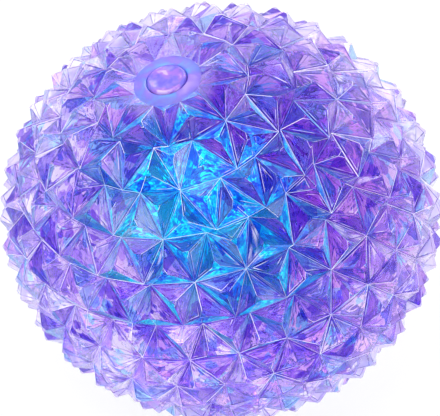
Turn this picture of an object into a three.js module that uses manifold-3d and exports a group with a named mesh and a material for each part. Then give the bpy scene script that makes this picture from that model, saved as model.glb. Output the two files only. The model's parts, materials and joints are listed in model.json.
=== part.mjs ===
// A soft spiky ball that lights up: a clear moulded skin covered with three-sided spikes, filled with gel,
// and closed by a filler plug whose stalk carries a sealed flasher capsule.
// Millimetres, +Z up. The origin is the middle of the flat patch that the ball rests on.
import * as THREE from "three";
import { mergeVertices } from "three/addons/utils/BufferGeometryUtils.js";
import Module from "manifold-3d";

// Driving dimensions of the ball
const SKIN_RADIUS = 46.8; // to the valleys between the spikes, before the ball sags
const SPIKE_HEIGHT = 3.2; // from the valleys to a tip
const SKIN_WALL = 2.6; // skin thickness under a valley
const SAG = 0.9; // height over width of the resting ball
const FOOT_PRESS = 0.6; // how far the table presses past the valleys under the ball
const CLEARANCE = 0.3; // between pieces that fit each other

// Bands of spikes about the plug's axis. In each, as many spikes point to the plug as away from it.
const BANDS = [
  { spikes: 8, turn: 25.5 },
  { spikes: 13, turn: 13 },
  { spikes: 19, turn: 11 },
  { spikes: 23, turn: 0.5 },
  { spikes: 25, turn: 1.75 },
  { spikes: 28, turn: 3.5 },
  { spikes: 28, turn: 9.75 },
  { spikes: 28, turn: 3 },
  { spikes: 26, turn: 8 },
  { spikes: 24, turn: 2 },
  { spikes: 20, turn: 10 },
  { spikes: 15, turn: 5 },
  { spikes: 10, turn: 12 },
];
const CAP_SPIKES = 6; // round the end of the axis away from the plug
const CAP_RADIUS = 12.1; // of that last group of spikes
const SNAP_ANGLE = 1.2; // corners of neighbouring bands closer than this share one point

// Filler plug
const PLUG_LEAN = 17; // degrees from the vertical
const PLUG_BEARING = 194.4; // degrees from +X, the way the plug leans
const PATCH_RADIUS = 7.3; // smooth patch of skin round the plug
const PATCH_SIDES = 24;
const PLUG_RADIUS = 4.15;
const PLUG_FLANGE = 1.2;
const PLUG_RIM = 1.0; // width of the raised rim
const PLUG_RIM_RISE = 0.3;
const NECK_RADIUS = 2.6;
const BARB_RADIUS = 4.0;
const BARB_LENGTH = 1.8;
const STALK_RADIUS = 2.2;
const STALK_LENGTH = 21;

// Flasher capsule
const CAPSULE_RADIUS = 12;
const CAPSULE_WALL = 2.6;
const CAPSULE_CORNER = 5;
const CAPSULE_TOP_WALL = 1.4;
const SOCKET_WALL = 1.4; // round the board and the upper half's spigot
const SPIGOT_LENGTH = 2.7;
const SPIGOT_WALL = 1.3;
const BOSS_WALL = 1.7; // round the plug's stalk
const BOSS_HEIGHT = 4;
const BOARD_THICKNESS = 1;
const CHIP_RADIUS = 2.6;
const CHIP_HEIGHT = 1.3;
const LED_COLOURS = { red: 0xff4060, green: 0x40e8c0, blue: 0x3060ff };
const LED_RADIUS = 1.5;
const LED_FLANGE = 0.4;
const LED_FLANGE_HEIGHT = 1;
const LED_HEIGHT = 5.2;
const LED_INSET = 4.8; // from the board's edge to the middle of a lamp
const LED_ROOM = 4.4; // above the lamps
const CELL_COUNT = 3;
const CELL_RADIUS = 3.95;
const CELL_HEIGHT = 3.6;
const CELL_CAP_INSET = 0.6;
const CELL_GAP = 1; // between the cells and the capsule's wall
const CLIP_THICKNESS = 0.4;
const CLIP_WIDTH = 3;
const LEG_GAP = 0.5; // between the cells and the lower clip's leg
const SPRING_RADIUS = 1.9; // to the middle of the wire
const SPRING_WIRE = 0.5;
const SPRING_TURNS = 7;
const SPRING_PITCH = 1.1;
const PIN_RADIUS = 0.35;
const PIN_LENGTH = 9;

// Facets
const BALL_SIDES = 36;
const BALL_RINGS = 20;
const LATHE_SIDES = 32;
const SMALL_SIDES = 20;
const ARC_STEPS = 5;
const WIRE_SIDES = 5;
const TURN_STEPS = 8;

const UP = new THREE.Vector3(0, 0, 1);
const rad = THREE.MathUtils.degToRad;
const wasm = await Module();
wasm.setup();

// Solids and pieces

function solid(geometry) {
  const bare = geometry.clone();
  bare.deleteAttribute("normal");
  bare.deleteAttribute("uv");
  const merged = mergeVertices(bare);
  return new wasm.Manifold(
    new wasm.Mesh({
      numProp: 3,
      vertProperties: new Float32Array(merged.attributes.position.array),
      triVerts: new Uint32Array(merged.index.array),
    }),
  );
}

function cut(geometry, ...tools) {
  const left = tools.reduce((body, tool) => body.subtract(solid(tool)), solid(geometry));
  const mesh = left.getMesh();
  return new THREE.BufferGeometry()
    .setAttribute("position", new THREE.BufferAttribute(mesh.vertProperties, 3))
    .setIndex(new THREE.BufferAttribute(mesh.triVerts, 1));
}

function piece(name, geometry, colour, roughness, metalness = 0) {
  if (!geometry.getAttribute("normal")) geometry.computeVertexNormals();
  const material = new THREE.MeshStandardMaterial({ color: colour, roughness, metalness });
  const mesh = new THREE.Mesh(geometry, material);
  mesh.name = name;
  return mesh;
}

// A body turned about Z from [radius, height] points that run up its outside and down its inside.
function turned(profile, sides = LATHE_SIDES) {
  const points = profile.map(([radius, height]) => new THREE.Vector2(radius, height));
  return new THREE.LatheGeometry(points, sides).rotateX(Math.PI / 2);
}

function arc(radius, height, size, from, to) {
  return Array.from({ length: ARC_STEPS + 1 }, (_, i) => {
    const angle = rad(from + ((to - from) * i) / ARC_STEPS);
    return [radius + size * Math.cos(angle), height + size * Math.sin(angle)];
  });
}

function box(low, high) {
  const size = new THREE.Vector3().subVectors(high, low);
  const middle = new THREE.Vector3().addVectors(low, high).divideScalar(2);
  return new THREE.BoxGeometry(size.x, size.y, size.z).translate(middle.x, middle.y, middle.z);
}

// Where the ball and the plug's axis lie

const ballCentre = new THREE.Vector3(0, 0, SAG * SKIN_RADIUS - FOOT_PRESS);
const plugAxis = UP.clone()
  .applyAxisAngle(new THREE.Vector3(0, 1, 0), rad(PLUG_LEAN))
  .applyAxisAngle(UP, rad(PLUG_BEARING));
const acrossAxis = new THREE.Vector3(1, 0, 0).projectOnPlane(plugAxis).normalize();
const aroundAxis = new THREE.Vector3().crossVectors(plugAxis, acrossAxis);

// A point of the resting ball from its angle off the plug's axis, its turn about it and its radius.
function onBall(angle, turn, radius) {
  const sideways = radius * Math.sin(rad(angle));
  const point = plugAxis.clone().multiplyScalar(radius * Math.cos(rad(angle)));
  point.addScaledVector(acrossAxis, sideways * Math.cos(rad(turn)));
  point.addScaledVector(aroundAxis, sideways * Math.sin(rad(turn)));
  point.z *= SAG;
  return point.add(ballCentre);
}

function sagged(radius) {
  return new THREE.SphereGeometry(radius, BALL_SIDES, BALL_RINGS)
    .rotateX(Math.PI / 2)
    .scale(1, 1, SAG)
    .translate(ballCentre.x, ballCentre.y, ballCentre.z);
}

// The plug stands square to the sagged skin, with its frame's zero height at the skin's outside.
const plugFrame = new THREE.Group();
plugFrame.position.copy(onBall(0, 0, SKIN_RADIUS));
const plugNormal = new THREE.Vector3(plugAxis.x, plugAxis.y, plugAxis.z / SAG).normalize();
plugFrame.quaternion.setFromUnitVectors(UP, plugNormal);
plugFrame.updateMatrix();

// Spiky skin

const wholeTurn = 360;
const step = (band) => wholeTurn / band.spikes;
const upperCorner = (band, i) => band.turn + i * step(band);
const lowerCorner = (band, i) => band.turn + (i + 0.5) * step(band);
const angleBetween = (a, b) => Math.abs(THREE.MathUtils.euclideanModulo(a - b + 180, wholeTurn) - 180);
const firstRing = THREE.MathUtils.radToDeg(Math.asin(PATCH_RADIUS / SKIN_RADIUS));
const lastRing = 180 - THREE.MathUtils.radToDeg(Math.asin(CAP_RADIUS / SKIN_RADIUS));
const ringAngle = (ring) => firstRing + ((lastRing - firstRing) * ring) / BANDS.length;

function corners(count, cornerTurn) {
  return Array.from({ length: count }, (_, i) => THREE.MathUtils.euclideanModulo(cornerTurn(i), wholeTurn));
}

// Turns of the corners that the bands above and below leave on a ring.
function ringTurns(ring) {
  const above = BANDS[ring - 1];
  const below = BANDS[ring];
  const own = above
    ? corners(above.spikes, (i) => lowerCorner(above, i))
    : corners(PATCH_SIDES, (i) => below.turn + (i * wholeTurn) / PATCH_SIDES);
  const other = below
    ? corners(below.spikes, (i) => upperCorner(below, i))
    : corners(CAP_SPIKES, (i) => (i * wholeTurn) / CAP_SPIKES);
  const apart = other.filter((turn) => own.every((near) => angleBetween(turn, near) > SNAP_ANGLE));
  return [...own, ...apart].sort((a, b) => a - b);
}

// The ring's points from one turn round to another, with both ends moved to the nearest point there is.
function ringRun({ turns, points }, from, to) {
  const nearest = (turn) => {
    const gaps = turns.map((near) => angleBetween(near, turn));
    return gaps.indexOf(Math.min(...gaps));
  };
  const last = nearest(to);
  let here = nearest(from);
  const run = [points[here]];
  while (here !== last) {
    here = (here + 1) % turns.length;
    run.push(points[here]);
  }
  return run;
}

function spikyShell() {
  const rings = Array.from({ length: BANDS.length + 1 }, (_, ring) => {
    const turns = ringTurns(ring);
    return { turns, points: turns.map((turn) => onBall(ringAngle(ring), turn, SKIN_RADIUS)) };
  });
  const positions = [];
  const facet = (...points) => points.forEach((point) => positions.push(point.x, point.y, point.z));

  // A spike stands on a triangle whose edge on a ring may be broken by the other band's corners.
  function spike(outline, triangle) {
    const middle = new THREE.Vector3();
    triangle.forEach((corner) => middle.add(corner).sub(ballCentre));
    middle.z /= SAG;
    middle.setLength(SKIN_RADIUS + SPIKE_HEIGHT);
    middle.z *= SAG;
    middle.add(ballCentre);
    outline.forEach((point, i) => facet(middle, point, outline[(i + 1) % outline.length]));
  }

  BANDS.forEach((band, b) => {
    const [upper, lower] = [rings[b], rings[b + 1]];
    for (let i = 0; i < band.spikes; i++) {
      const [top] = ringRun(upper, upperCorner(band, i), upperCorner(band, i));
      const [foot] = ringRun(lower, lowerCorner(band, i), lowerCorner(band, i));
      const base = ringRun(lower, lowerCorner(band, i - 1), lowerCorner(band, i));
      const brow = ringRun(upper, upperCorner(band, i), upperCorner(band, i + 1));
      spike([...base, top], [base[0], base[base.length - 1], top]);
      spike([foot, ...brow.reverse()], [foot, brow[0], brow[brow.length - 1]]);
    }
  });

  const pole = onBall(0, 0, SKIN_RADIUS);
  const patch = rings[0].points;
  patch.forEach((point, i) => facet(pole, point, patch[(i + 1) % patch.length]));

  const end = onBall(180, 0, SKIN_RADIUS);
  const last = rings[BANDS.length];
  for (let i = 0; i < CAP_SPIKES; i++) {
    const turn = (k) => (k * wholeTurn) / CAP_SPIKES;
    const brow = ringRun(last, turn(i), turn(i + 1));
    spike([end, ...brow.reverse()], [end, brow[0], brow[brow.length - 1]]);
  }
  const position = new THREE.Float32BufferAttribute(positions, 3);
  return new THREE.BufferGeometry().setAttribute("position", position);
}

// Heights in the plug's frame: the stalk ends inside the ball, and the capsule hangs on it.
const barbTop = -SKIN_WALL - CLEARANCE;
const barbEnd = barbTop - BARB_LENGTH;
const stalkEnd = barbEnd - STALK_LENGTH;
const outside = SPIKE_HEIGHT; // above any part of the plug

function spikySkin() {
  const reach = SKIN_RADIUS + SPIKE_HEIGHT;
  const table = box(new THREE.Vector3(-reach, -reach, -reach), new THREE.Vector3(reach, reach, 0));
  const seat = turned([
    [0, barbEnd],
    [NECK_RADIUS + CLEARANCE, barbEnd],
    [NECK_RADIUS + CLEARANCE, -PLUG_FLANGE - CLEARANCE],
    [PLUG_RADIUS + CLEARANCE, -PLUG_FLANGE - CLEARANCE],
    [PLUG_RADIUS + CLEARANCE, outside],
    [0, outside],
  ]).applyMatrix4(plugFrame.matrix);
  return cut(spikyShell(), sagged(SKIN_RADIUS - SKIN_WALL), table, seat);
}

function fillerPlug() {
  return turned([
    [0, stalkEnd],
    [STALK_RADIUS, stalkEnd],
    [STALK_RADIUS, barbEnd],
    [BARB_RADIUS, barbTop - BARB_LENGTH / 3],
    [BARB_RADIUS, barbTop],
    [NECK_RADIUS, barbTop],
    [NECK_RADIUS, -PLUG_FLANGE],
    [PLUG_RADIUS, -PLUG_FLANGE],
    [PLUG_RADIUS, 0],
    [PLUG_RADIUS - PLUG_RIM / 2, PLUG_RIM_RISE],
    [PLUG_RADIUS - PLUG_RIM, 0],
    [0, 0],
  ]);
}

// Heights in the capsule's frame, from its outside bottom
const cellX = -(CAPSULE_RADIUS - CAPSULE_WALL - CELL_RADIUS - CELL_GAP);
const lowerClip = CAPSULE_WALL + CLEARANCE;
const cellBottom = (i) => lowerClip + CLIP_THICKNESS + CLEARANCE + i * (CELL_HEIGHT + CLEARANCE);
const upperClip = cellBottom(CELL_COUNT);
const boardBottom = upperClip + CLIP_THICKNESS + CLEARANCE;
const boardTop = boardBottom + BOARD_THICKNESS;
const spigotEnd = boardTop + CLEARANCE;
const lowerRim = spigotEnd + SPIGOT_LENGTH;
const capsuleCeiling = boardTop + LED_HEIGHT + LED_ROOM;
const capsuleTop = capsuleCeiling + CAPSULE_TOP_WALL;
const socketRadius = CAPSULE_RADIUS - SOCKET_WALL;
const spigotRadius = socketRadius - CLEARANCE;
const boardRadius = socketRadius - CLEARANCE;
const ledRing = boardRadius - LED_INSET;
const bossRadius = STALK_RADIUS + CLEARANCE + BOSS_WALL;

const roundedFoot = (grow = 0) =>
  arc(CAPSULE_RADIUS - CAPSULE_CORNER, CAPSULE_CORNER, CAPSULE_CORNER + grow, -90, 0);
const roundedHead = (grow = 0) =>
  arc(CAPSULE_RADIUS - CAPSULE_CORNER, capsuleTop - CAPSULE_CORNER, CAPSULE_CORNER + grow, 0, 90);

function capsuleLower() {
  return turned([
    [0, 0],
    ...roundedFoot(),
    [CAPSULE_RADIUS, lowerRim],
    [socketRadius, lowerRim],
    [socketRadius, boardBottom - CLEARANCE],
    [CAPSULE_RADIUS - CAPSULE_WALL, boardBottom - CLEARANCE],
    [CAPSULE_RADIUS - CAPSULE_WALL, CAPSULE_WALL],
    [0, CAPSULE_WALL],
  ]);
}

function capsuleUpper() {
  return turned([
    [0, capsuleCeiling],
    [spigotRadius - SPIGOT_WALL, capsuleCeiling],
    [spigotRadius - SPIGOT_WALL, spigotEnd],
    [spigotRadius, spigotEnd],
    [spigotRadius, lowerRim + CLEARANCE],
    [CAPSULE_RADIUS, lowerRim + CLEARANCE],
    ...roundedHead(),
    [bossRadius, capsuleTop],
    [bossRadius, capsuleTop + BOSS_HEIGHT],
    [STALK_RADIUS + CLEARANCE, capsuleTop + BOSS_HEIGHT],
    [STALK_RADIUS + CLEARANCE, capsuleTop],
    [0, capsuleTop],
  ]);
}

const flasher = new THREE.Group();
flasher.position.z = stalkEnd - CLEARANCE - capsuleTop;

// The gel leaves a channel for the plug's barb and stalk, and a pocket for the capsule.
function gelFilling() {
  const pocket = flasher.position.z;
  const shift = ([radius, height]) => [radius, height + pocket];
  const channel = turned([
    [0, pocket - CLEARANCE],
    ...roundedFoot(CLEARANCE).map(shift),
    ...roundedHead(CLEARANCE).map(shift),
    [bossRadius + CLEARANCE, pocket + capsuleTop + CLEARANCE],
    [bossRadius + CLEARANCE, pocket + capsuleTop + BOSS_HEIGHT + CLEARANCE],
    [STALK_RADIUS + CLEARANCE, pocket + capsuleTop + BOSS_HEIGHT + CLEARANCE],
    [STALK_RADIUS + CLEARANCE, barbEnd - CLEARANCE],
    [BARB_RADIUS + CLEARANCE, barbEnd - CLEARANCE],
    [BARB_RADIUS + CLEARANCE, outside],
    [0, outside],
  ]).applyMatrix4(plugFrame.matrix);
  return cut(sagged(SKIN_RADIUS - SKIN_WALL - CLEARANCE), channel);
}

function led() {
  return turned(
    [
      [0, 0],
      [LED_RADIUS + LED_FLANGE, 0],
      [LED_RADIUS + LED_FLANGE, LED_FLANGE_HEIGHT],
      [LED_RADIUS, LED_FLANGE_HEIGHT],
      ...arc(0, LED_HEIGHT - LED_RADIUS, LED_RADIUS, 0, 90),
    ],
    SMALL_SIDES,
  );
}

function batteryCell() {
  const edge = CELL_HEIGHT - CELL_CAP_INSET;
  return turned(
    [
      [0, 0],
      [CELL_RADIUS, 0],
      [CELL_RADIUS, edge],
      [CELL_RADIUS - CELL_CAP_INSET, CELL_HEIGHT],
      [0, CELL_HEIGHT],
    ],
    SMALL_SIDES,
  );
}

// Strips of spring brass, drawn as side views in X and Z and as wide as CLIP_WIDTH in Y.
function clip(outline) {
  const shape = new THREE.Shape(outline.map(([x, z]) => new THREE.Vector2(x, z)));
  return new THREE.ExtrudeGeometry(shape, { depth: CLIP_WIDTH, bevelEnabled: false })
    .rotateX(Math.PI / 2)
    .translate(0, CLIP_WIDTH / 2, 0);
}

const cellLeft = cellX - CELL_RADIUS + CELL_CAP_INSET;
const legLeft = cellX + CELL_RADIUS + LEG_GAP;
const legRight = legLeft + CLIP_THICKNESS;

function upperBatteryClip() {
  return clip([
    [cellLeft, upperClip],
    [legLeft, upperClip],
    [legLeft, upperClip + CLIP_THICKNESS],
    [cellLeft, upperClip + CLIP_THICKNESS],
  ]);
}

function lowerBatteryClip() {
  return clip([
    [cellLeft, lowerClip],
    [legRight + CLEARANCE, lowerClip],
    [legRight + CLEARANCE, boardBottom - CLEARANCE],
    [legLeft + CLEARANCE, boardBottom - CLEARANCE],
    [legLeft + CLEARANCE, lowerClip + CLIP_THICKNESS],
    [cellLeft, lowerClip + CLIP_THICKNESS],
  ]);
}

// Shake switch: a coil hangs from the board round a stiff pin and closes the circuit when it swings.
const switchX = (legRight + CAPSULE_RADIUS - CAPSULE_WALL) / 2;

class Coil extends THREE.Curve {
  getPoint(t, target = new THREE.Vector3()) {
    const turns = t * SPRING_TURNS;
    const angle = turns * 2 * Math.PI;
    return target.set(
      SPRING_RADIUS * Math.cos(angle),
      SPRING_RADIUS * Math.sin(angle),
      -SPRING_WIRE / 2 - turns * SPRING_PITCH,
    );
  }
}

function shakeSpring() {
  const wire = new THREE.Shape(
    Array.from({ length: WIRE_SIDES }, (_, i) => {
      const angle = (2 * Math.PI * i) / WIRE_SIDES;
      return new THREE.Vector2(Math.cos(angle), Math.sin(angle)).multiplyScalar(SPRING_WIRE / 2);
    }),
  );
  const coil = new Coil();
  const steps = SPRING_TURNS * TURN_STEPS;
  const points = coil.getPoints(steps);
  const gaps = points.slice(TURN_STEPS).map((point, i) => point.distanceTo(points[i]) - SPRING_WIRE);
  console.log("least gap between the spring's turns", Math.min(...gaps).toFixed(2), "mm");
  return new THREE.ExtrudeGeometry(wire, { steps, extrudePath: coil, bevelEnabled: false });
}

function shakePin() {
  return new THREE.CylinderGeometry(PIN_RADIUS, PIN_RADIUS, PIN_LENGTH, SMALL_SIDES)
    .rotateX(Math.PI / 2)
    .translate(0, 0, -PIN_LENGTH / 2);
}

// Assembly

function place(mesh, x, y, z) {
  mesh.position.set(x, y, z);
  return mesh;
}

const board = new THREE.CylinderGeometry(boardRadius, boardRadius, BOARD_THICKNESS, LATHE_SIDES)
  .rotateX(Math.PI / 2)
  .translate(0, 0, BOARD_THICKNESS / 2);
const chip = turned(
  [[0, 0], ...arc(0, 0, 1, 0, 90).map(([x, z]) => [x * CHIP_RADIUS, z * CHIP_HEIGHT])],
  SMALL_SIDES,
);
const onBoard = boardTop + CLEARANCE;
const underBoard = boardBottom - CLEARANCE;

flasher.add(
  piece("capsule_lower", capsuleLower(), 0xdfe9ff, 0.35),
  piece("capsule_upper", capsuleUpper(), 0xdfe9ff, 0.35),
  place(piece("circuit_board", board, 0x1f7a45, 0.5), 0, 0, boardBottom),
  place(piece("controller_chip", chip, 0x16161a, 0.4), 0, 0, onBoard),
  piece("battery_clip_upper", upperBatteryClip(), 0xc9a24b, 0.35, 1),
  piece("battery_clip_lower", lowerBatteryClip(), 0xc9a24b, 0.35, 1),
  place(piece("shake_pin", shakePin(), 0xc9a24b, 0.35, 1), switchX, 0, underBoard),
  place(piece("shake_spring", shakeSpring(), 0xb9bcc2, 0.3, 1), switchX, 0, underBoard),
);
Object.entries(LED_COLOURS).forEach(([name, colour], i, all) => {
  const turn = Math.PI / 2 + (2 * Math.PI * i) / all.length;
  const lamp = piece("led_" + name, led(), colour, 0.15);
  flasher.add(place(lamp, ledRing * Math.cos(turn), ledRing * Math.sin(turn), onBoard));
});
for (let i = 0; i < CELL_COUNT; i++) {
  const cell = piece("battery_cell_" + (i + 1), batteryCell(), 0xc4c7cc, 0.3, 1);
  flasher.add(place(cell, cellX, 0, cellBottom(i)));
}

plugFrame.add(piece("filler_plug", fillerPlug(), 0xa58bea, 0.25), flasher);

const ball = new THREE.Group();
ball.add(
  piece("spiky_skin", spikySkin(), 0x9a80ea, 0.12),
  piece("gel_filling", gelFilling(), 0x3f7df0, 0.2),
  plugFrame,
);

export default ball;
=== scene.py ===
"""Looks of a soft spiky ball that lights up, built round its packed solids.

A clear moulded skin with bands of three-sided spikes holds a blue gel. A filler plug closes the skin,
and its stalk carries a lit capsule in the middle of the gel. Metres, +Z up, origin under the ball.
"""

import json
import math
from functools import partial

import bmesh
import bpy
from bpy.props import FloatProperty, FloatVectorProperty, IntProperty, PointerProperty
from mathutils import Matrix, Vector


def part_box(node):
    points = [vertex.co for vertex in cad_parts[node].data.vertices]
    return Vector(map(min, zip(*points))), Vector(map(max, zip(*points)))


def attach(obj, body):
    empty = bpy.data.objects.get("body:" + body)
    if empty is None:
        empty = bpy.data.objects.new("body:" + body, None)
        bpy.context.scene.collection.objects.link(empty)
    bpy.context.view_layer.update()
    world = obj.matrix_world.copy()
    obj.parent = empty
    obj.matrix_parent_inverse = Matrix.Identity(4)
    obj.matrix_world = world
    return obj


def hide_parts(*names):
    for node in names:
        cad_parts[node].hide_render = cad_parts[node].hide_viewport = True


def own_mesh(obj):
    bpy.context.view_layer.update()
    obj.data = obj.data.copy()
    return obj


bl_info = {
    "name": "Spiky light ball",
    "version": (1, 0, 0),
    "blender": (4, 5, 0),
    "location": "View3D > Sidebar > Spiky ball",
    "description": "Builds the skin, gel, plug and flasher of a soft spiky ball that lights up",
    "category": "Object",
}

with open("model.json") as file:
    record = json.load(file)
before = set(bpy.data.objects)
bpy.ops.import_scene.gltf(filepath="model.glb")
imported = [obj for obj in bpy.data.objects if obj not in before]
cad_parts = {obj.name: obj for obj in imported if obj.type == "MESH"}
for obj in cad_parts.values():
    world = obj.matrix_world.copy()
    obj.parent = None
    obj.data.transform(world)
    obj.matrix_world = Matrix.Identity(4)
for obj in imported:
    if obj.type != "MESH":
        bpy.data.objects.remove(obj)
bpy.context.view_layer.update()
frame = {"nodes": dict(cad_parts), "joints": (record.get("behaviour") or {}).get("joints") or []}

# Where the ball lies, read from the gel that fills it
MM = 0.001
GEL_LOW, GEL_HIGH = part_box("gel_filling")
BALL_CENTRE = (GEL_LOW + GEL_HIGH) / 2
GEL_RADIUS = (GEL_HIGH.x - GEL_LOW.x) / 2
SAG = (GEL_HIGH.z - GEL_LOW.z) / (GEL_HIGH.x - GEL_LOW.x)

# Bands of spikes about the plug's axis: how many point to the plug, and the turn of the first in degrees
BANDS = (
    (8, 25.5),
    (13, 13),
    (19, 11),
    (23, 0.5),
    (25, 1.75),
    (28, 3.5),
    (28, 9.75),
    (28, 3),
    (26, 8),
    (24, 2),
    (20, 10),
    (15, 5),
    (10, 12),
)
CAP_SPIKES = 6

# Corners of neighbouring bands that lie within this many degrees are one
SNAP_ANGLE = 1.2

# Flat top of a spike's round tip, as a share of the tip
TIP_TOP = 0.4

# Skin round the plug, as shares of the patch's radius and of the seat's radius, and heights
PATCH_PROFILE = ((0.84, -0.33 * MM), (0.70, -0.18 * MM))
SEAT_PROFILE = ((1.02, -0.14 * MM), (1.0, -0.3 * MM))

# Fineness of the round meshes
PATCH_SIDES = 48
LINING_ROWS = 20
GEL_SIDES = 96
GEL_ROWS = 64
PLUG_SIDES = 48
COIL_STEPS = 32
WIRE_SIDES = 12

# The plug's axis
PLUG_LEAN = math.radians(17)
PLUG_BEARING = math.radians(194.4)
PLUG_AXIS = Vector(
    (
        math.sin(PLUG_LEAN) * math.cos(PLUG_BEARING),
        math.sin(PLUG_LEAN) * math.sin(PLUG_BEARING),
        math.cos(PLUG_LEAN),
    )
)
ACROSS_AXIS = (Vector((1, 0, 0)) - PLUG_AXIS * PLUG_AXIS.x).normalized()
AROUND_AXIS = PLUG_AXIS.cross(ACROSS_AXIS)

# The middle of the lit capsule
HEART = (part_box("capsule_lower")[0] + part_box("capsule_upper")[1]) / 2

# Clear rubber, with waves to the metre, and streaks to the radian of the fan that they make on a facet
WHITE = (1.0, 1.0, 1.0)
RUBBER_IOR = 1.36
WAVES = 150.0
STREAKS = 2.6
STREAK_STEP = 9.0
WAVE_STRENGTH = 0.25
WAVE_DEPTH = 0.8 * MM

# How far waves and streaks shift a facet's own tone
TINT_DRIFT = 0.14

# How deep they let its tint be. A range is two pairs, each a value and what becomes of it
TINT_RANGE = ((0.7, 0.35), (1.2, 1.0))

# Tints of the facets by tone, and with their alpha how milky each is
SKIN_TINTS = (
    (0.0, (0.18, 0.08, 0.62, 0.0)),
    (0.15, (0.42, 0.27, 0.90, 0.0)),
    (0.27, (0.82, 0.72, 1.0, 0.0)),
    (0.38, (1.0, 0.97, 1.0, 0.0)),
    (0.66, (1.0, 0.98, 1.0, 0.0)),
    (0.70, (1.0, 0.99, 1.0, 0.5)),
    (0.74, (1.0, 0.96, 1.0, 0.2)),
    (0.81, (0.97, 0.72, 1.0, 0.1)),
    (0.90, (0.82, 0.48, 0.94, 0.0)),
    (0.96, (0.40, 0.90, 1.0, 0.1)),
)

# Painted shade as dark lines: on the ridges by their lot, and beside a facet's sides by the inset from them.
# Painted glints, pale and cyan, on the other ridges
PAINTED_RIDGE_SHADE = (
    (0.0, WHITE),
    (0.01, (0.12, 0.06, 0.40)),
    (0.35, (0.12, 0.06, 0.40)),
    (0.4, WHITE),
)
PAINTED_EDGE_SHADE = (
    (0.0, WHITE),
    (0.01, WHITE),
    (0.03, (0.18, 0.10, 0.48)),
    (0.06, (0.18, 0.10, 0.48)),
    (0.11, WHITE),
)
GLINT_SHADES = (
    (0.0, (0.90, 0.88, 1.0)),
    (0.05, (0.10, 0.80, 1.0)),
    (0.72, (0.20, 0.95, 1.0)),
    (0.78, (1.0, 0.97, 1.0)),
)
GLINT_RANGE = ((0.5, 0.0), (0.85, 0.95))

# Painted highlights as thin broken lines beside the dark lines, by the distance from this inset, and where
# they break
LINE_INSET = 0.13
LINE_RANGE = ((0.0, 1.6), (0.03, 0.0))
BREAK_RANGE = ((1.0, 0.0), (1.2, 0.45))

# Painted sheen: pale colour that grows towards the ball's rim
SHEEN_COLOUR = (0.84, 0.80, 0.96)
SHEEN_POWER = 2.4
SHEEN_SHARE = 0.6

# Milkiness of the spikes next to the patch, out to this many patch radii
MILKY_COLOUR = (0.13, 0.08, 0.62)
MILKY_SHARE = 0.35
MILKY_REACH = 1.7

# Fragments that the clear walls seem to hold, in cells per metre, and their shades
NEAR_FRAGMENTS = 360.0
NEAR_SHADES = (
    (0.0, (0.44, 0.28, 0.86)),
    (0.14, (0.74, 0.60, 0.98)),
    (0.30, (0.98, 0.98, 1.0)),
    (0.82, (0.97, 0.85, 1.0)),
    (0.90, (0.45, 0.93, 1.0)),
)
FAR_FRAGMENTS = 120.0
FAR_SHADES = (
    (0.0, (0.38, 0.24, 0.80)),
    (0.20, (0.64, 0.48, 0.95)),
    (0.36, (0.97, 0.94, 1.0)),
    (0.80, (0.95, 0.64, 0.98)),
    (0.91, (0.35, 0.96, 1.0)),
)

# Milky rubber of the patch and of the plug: its tint further out, and how clear it gets there
FAR_TINT = (0.42, 0.36, 0.92)
CLEAR_RANGE = ((0.0, 0.4), (1.0, 0.85))

# Where the patch begins to clear, in radii of the plug, and where it is clear, in radii of the patch
CLEAR_FROM = 1.1
CLEAR_AT = 1.3

# Clouds in the milky rubber, to the metre, and their shades
CLOUD_STRENGTH = 0.2
PATCH_CLOUDS = 200.0
PATCH_SHADES = (
    (0.36, (0.12, 0.46, 0.90)),
    (0.48, (0.24, 0.24, 0.84)),
    (0.56, (0.36, 0.22, 0.83)),
    (0.68, (0.54, 0.38, 0.89)),
)
PLUG_CLOUDS = 330.0
PLUG_SHADES = (
    (0.36, (0.20, 0.16, 0.78)),
    (0.46, (0.28, 0.20, 0.80)),
    (0.54, (0.44, 0.21, 0.80)),
    (0.64, (0.68, 0.50, 0.93)),
)

# Where the gel is thick and where thin, as shares of its radius, and the thin gel's share of the density
GEL_THICK = 0.4
GEL_THIN = 0.95
THIN_DENSITY = 0.1

# How far the painted light of the red lamp tints the gel, and how far the capsule's painted light reaches in
# it
RED_RANGE = ((10 * MM, 1.0), (75 * MM, 0.0))
HEART_RANGE = ((7 * MM, 1.0), (23 * MM, 0.0))

# Painted glow of the capsule, which stands in for its lamps' light: patches to the metre, and their light
CAPSULE_PATCHES = 240.0
CAPSULE_LIGHT = (
    (0.38, (0.0, 0.05, 0.36)),
    (0.47, (0.0, 0.22, 0.46)),
    (0.53, (0.0, 0.75, 0.66)),
    (0.58, (0.0, 2.9, 1.5)),
)

# Light of the three lamps
LAMP_COLOURS = {
    "red": (1.0, 0.05, 0.12),
    "green": (0.05, 0.80, 0.52),
    "blue": (0.03, 0.12, 1.0),
}

# Worked finishes: two shades, grain along X, Y and Z to the metre, least and most roughness, metal
FINISHES = {
    "chip_resin": ((0.006, 0.006, 0.008), (0.016, 0.016, 0.02), (900, 900, 900), (0.15, 0.4), 0.0),
    "cell_steel": ((0.42, 0.43, 0.46), (0.66, 0.67, 0.70), (300, 300, 6000), (0.2, 0.4), 1.0),
    "contact_brass": ((0.48, 0.28, 0.06), (0.66, 0.42, 0.11), (800, 800, 800), (0.2, 0.45), 1.0),
    "spring_steel": ((0.40, 0.41, 0.44), (0.62, 0.63, 0.66), (2500, 2500, 2500), (0.15, 0.35), 1.0),
}
GRAIN_DEPTH = 0.01 * MM
TRACK_DEPTH = 0.05 * MM

# Floor: half its width in metres, its gap below the ball, and how much of it shows as plain white
FLOOR_REACH = 3.0
FLOOR_GAP = 0.1 * MM
FLOOR_WHITE = 0.88

# Light of the white room, clear faces that a ray may cross, and the camera's sensor in millimetres
ROOM_LIGHT = 0.7
CLEAR_FACES = 24
SENSOR_WIDTH = 36

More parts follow.
